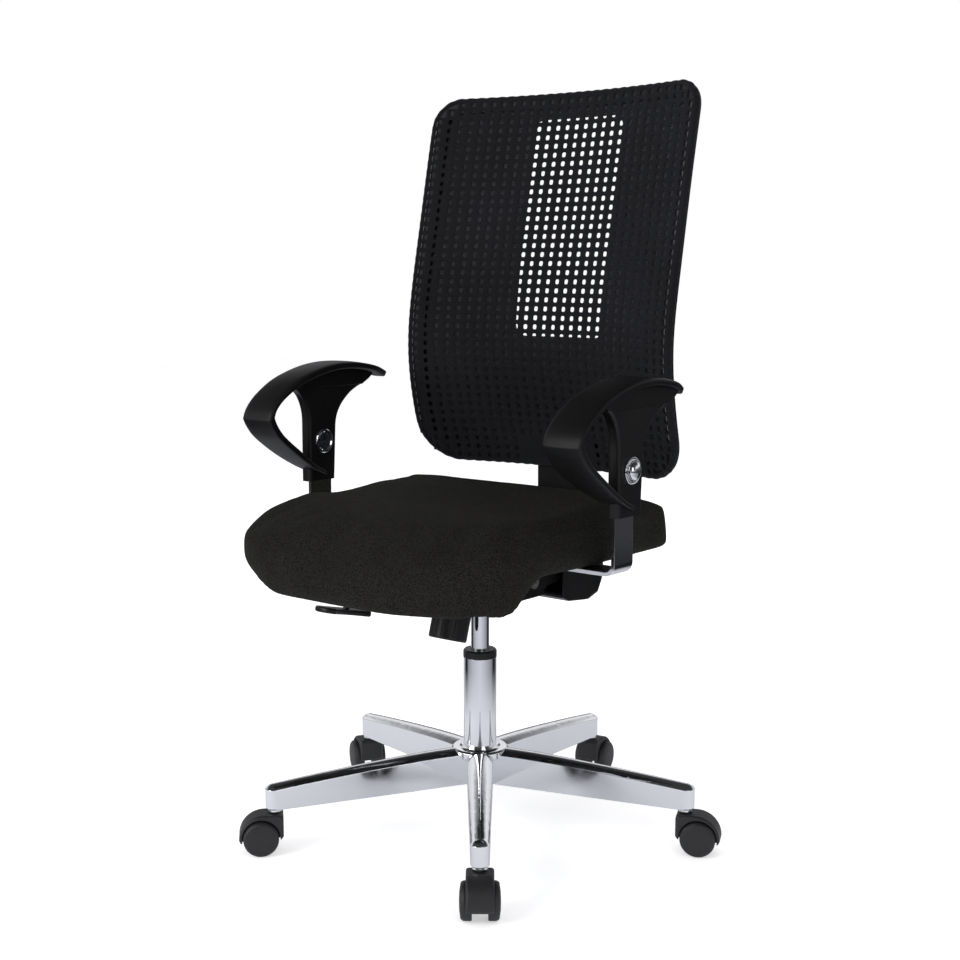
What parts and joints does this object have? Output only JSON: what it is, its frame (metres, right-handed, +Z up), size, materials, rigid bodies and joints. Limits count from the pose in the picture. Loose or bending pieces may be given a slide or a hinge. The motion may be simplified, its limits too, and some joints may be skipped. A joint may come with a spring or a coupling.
{
  "type": "swivel office chair",
  "caption": "Swivel office chair with a tall curved mesh back, waterfall seat, loop armrests, gas lift and a polished star base on twin-wheel castors.",
  "frame": {"origin": "on the gas lift axis at floor level", "axes": "+Z up; -Y is the seat's front; +X is the sitter's left"},
  "size_m": [0.7087, 0.7195, 1.121],
  "materials": {
    "polished_aluminium": "polished and chrome plated die casting",
    "chrome": "bright chrome",
    "steel": "zinc plated",
    "black_metal": "black powder coat",
    "black_plastic": "fine-grained moulded",
    "gloss_rim": "satin moulded",
    "soft_pad": "soft skinned polyurethane",
    "seat_fabric": "black weave with light flecks",
    "mesh_fabric": "open black knit",
    "castor_plastic": "moulded polyamide",
    "guide_plastic": "natural acetal"
  },
  "bodies": {
    "base": {"star_base": "polished_aluminium", "castor_stems": "steel", "column_outer_tube": "chrome", "column_collar": "black_plastic", "guide_bush": "guide_plastic", "thrust_bearing": "steel"},
    "rod": {"piston_rod": "steel", "retaining_clip": "steel"},
    "carriage": {"gas_cylinder": "chrome", "mechanism_housing": "black_metal", "front_pivot_shaft": "steel", "rear_pivot_shaft": "steel", "tension_spring": "steel"},
    "pin": {"release_pin": "steel"},
    "lever": {"height_lever": "black_plastic"},
    "knob": {"tension_knob": "black_plastic"},
    "recliner": {"back_spine": "black_metal", "spine_cover": "black_plastic"},
    "backrest": {"back_mesh": "mesh_fabric", "back_frame": "gloss_rim", "back_shell": "gloss_rim", "height_guide": "black_plastic", "back_screws": "steel"},
    "seat": {"seat_cushion": "seat_fabric", "seat_pan": "black_plastic", "seat_plate": "black_metal", "seat_screws": "steel", "arm_bracket_left": "chrome", "arm_bracket_right": "chrome"},
    "arm_left": {"arm_sleeve_left": "black_plastic", "arm_pad_left": "soft_pad", "arm_cap_left": "chrome"},
    "button_left": {"arm_button_left": "chrome"},
    "arm_right": {"arm_sleeve_right": "black_plastic", "arm_pad_right": "soft_pad", "arm_cap_right": "chrome"},
    "button_right": {"arm_button_right": "chrome"},
    "castor_1": {"castor_1_hood": "castor_plastic", "castor_1_axle": "steel"},
    "wheel_1_a": {"castor_1_wheel_a": "castor_plastic"},
    "wheel_1_b": {"castor_1_wheel_b": "castor_plastic"},
    "castor_2": {"castor_2_hood": "castor_plastic", "castor_2_axle": "steel"},
    "wheel_2_a": {"castor_2_wheel_a": "castor_plastic"},
    "wheel_2_b": {"castor_2_wheel_b": "castor_plastic"},
    "castor_3": {"castor_3_hood": "castor_plastic", "castor_3_axle": "steel"},
    "wheel_3_a": {"castor_3_wheel_a": "castor_plastic"},
    "wheel_3_b": {"castor_3_wheel_b": "castor_plastic"},
    "castor_4": {"castor_4_hood": "castor_plastic", "castor_4_axle": "steel"},
    "wheel_4_a": {"castor_4_wheel_a": "castor_plastic"},
    "wheel_4_b": {"castor_4_wheel_b": "castor_plastic"},
    "castor_5": {"castor_5_hood": "castor_plastic", "castor_5_axle": "steel"},
    "wheel_5_a": {"castor_5_wheel_a": "castor_plastic"},
    "wheel_5_b": {"castor_5_wheel_b": "castor_plastic"}
  },
  "joints": [
    {"name": "seat_swivel", "type": "hinge", "parent": "base", "child": "rod", "pos_m": [0, 0, 0.09], "axis": [0, 0, 1], "continuous": true},
    {"name": "seat_height", "type": "slide", "parent": "rod", "child": "carriage", "axis": [0, 0, 1], "range_m": [-0.07, 0.045]},
    {"name": "back_recline", "type": "hinge", "parent": "carriage", "child": "recliner", "pos_m": [0, 0.04, 0.385], "axis": [-1, 0, 0], "range_deg": [0, 18], "stiffness_Nm_per_rad": 80, "springref_deg": -22.92},
    {"name": "seat_tilt", "type": "hinge", "parent": "carriage", "child": "seat", "pos_m": [0, -0.07, 0.412], "axis": [-1, 0, 0], "range_deg": [0, 8.1]},
    {"name": "back_height", "type": "slide", "parent": "recliner", "child": "backrest", "axis": [0, 0, 1], "range_m": [0, 0.07]},
    {"name": "height_lever_lift", "type": "hinge", "parent": "carriage", "child": "lever", "pos_m": [-0.022, 0, 0.4078], "axis": [0, 1, 0], "range_deg": [0, 8]},
    {"name": "release_pin_press", "type": "slide", "parent": "carriage", "child": "pin", "axis": [0, 0, 1], "range_m": [-0.0032, 0]},
    {"name": "tension_turn", "type": "hinge", "parent": "carriage", "child": "knob", "pos_m": [0, -0.077, 0.309], "axis": [0, -0.2924, -0.9563], "range_deg": [-720, 720]},
    {"name": "arm_height_left", "type": "slide", "parent": "seat", "child": "arm_left", "axis": [0, 0, 1], "range_m": [-0.04, 0.05]},
    {"name": "arm_button_press_left", "type": "slide", "parent": "arm_left", "child": "button_left", "axis": [-1, 0, 0], "range_m": [0, 0.003], "stiffness_N_per_m": 900, "springref_m": -0.004},
    {"name": "arm_height_right", "type": "slide", "parent": "seat", "child": "arm_right", "axis": [0, 0, 1], "range_m": [-0.04, 0.05]},
    {"name": "arm_button_press_right", "type": "slide", "parent": "arm_right", "child": "button_right", "axis": [1, 0, 0], "range_m": [0, 0.003], "stiffness_N_per_m": 900, "springref_m": -0.004},
    {"name": "castor_1_swivel", "type": "hinge", "parent": "base", "child": "castor_1", "pos_m": [0.1982, -0.2474, 0.05], "axis": [0, 0, 1], "continuous": true},
    {"name": "wheel_1_a_roll", "type": "hinge", "parent": "castor_1", "child": "wheel_1_a", "pos_m": [0.21071, -0.263, 0.026], "axis": [0.7804, 0.6252, 0], "continuous": true},
    {"name": "wheel_1_b_roll", "type": "hinge", "parent": "castor_1", "child": "wheel_1_b", "pos_m": [0.21071, -0.263, 0.026], "axis": [0.7804, 0.6252, 0], "continuous": true},
    {"name": "castor_2_swivel", "type": "hinge", "parent": "base", "child": "castor_2", "pos_m": [0.29654, 0.11205, 0.05], "axis": [0, 0, 1], "continuous": true},
    {"name": "wheel_2_a_roll", "type": "hinge", "parent": "castor_2", "child": "wheel_2_a", "pos_m": [0.31471, 0.12041, 0.026], "axis": [-0.4179, 0.9085, 0], "continuous": true},
    {"name": "wheel_2_b_roll", "type": "hinge", "parent": "castor_2", "child": "wheel_2_b", "pos_m": [0.31471, 0.12041, 0.026], "axis": [-0.4179, 0.9085, 0], "continuous": true},
    {"name": "castor_3_swivel", "type": "hinge", "parent": "base", "child": "castor_3", "pos_m": [-0.01493, 0.31665, 0.05], "axis": [0, 0, 1], "continuous": true},
    {"name": "wheel_3_a_roll", "type": "hinge", "parent": "castor_3", "child": "wheel_3_a", "pos_m": [-0.0183, 0.33636, 0.026], "axis": [-0.9857, -0.1685, 0], "continuous": true},
    {"name": "wheel_3_b_roll", "type": "hinge", "parent": "castor_3", "child": "wheel_3_b", "pos_m": [-0.0183, 0.33636, 0.026], "axis": [-0.9857, -0.1685, 0], "continuous": true},
    {"name": "castor_4_swivel", "type": "hinge", "parent": "base", "child": "castor_4", "pos_m": [-0.30577, 0.08365, 0.05], "axis": [0, 0, 1], "continuous": true},
    {"name": "wheel_4_a_roll", "type": "hinge", "parent": "castor_4", "child": "wheel_4_a", "pos_m": [-0.32267, 0.09434, 0.026], "axis": [-0.5344, -0.8453, 0], "continuous": true},
    {"name": "wheel_4_b_roll", "type": "hinge", "parent": "castor_4", "child": "wheel_4_b", "pos_m": [-0.32267, 0.09434, 0.026], "axis": [-0.5344, -0.8453, 0], "continuous": true},
    {"name": "castor_5_swivel", "type": "hinge", "parent": "base", "child": "castor_5", "pos_m": [-0.17404, -0.26495, 0.05], "axis": [0, 0, 1], "continuous": true},
    {"name": "wheel_5_a_roll", "type": "hinge", "parent": "castor_5", "child": "wheel_5_a", "pos_m": [-0.18776, -0.27951, 0.026], "axis": [0.7278, -0.6858, 0], "continuous": true},
    {"name": "wheel_5_b_roll", "type": "hinge", "parent": "castor_5", "child": "wheel_5_b", "pos_m": [-0.18776, -0.27951, 0.026], "axis": [0.7278, -0.6858, 0], "continuous": true}
  ],
  "couplings": [
    {"joint": "seat_tilt", "follows": "back_recline", "ratio": 0.45},
    {"joint": "release_pin_press", "follows": "height_lever_lift", "m_per_rad": -0.022}
  ]
}
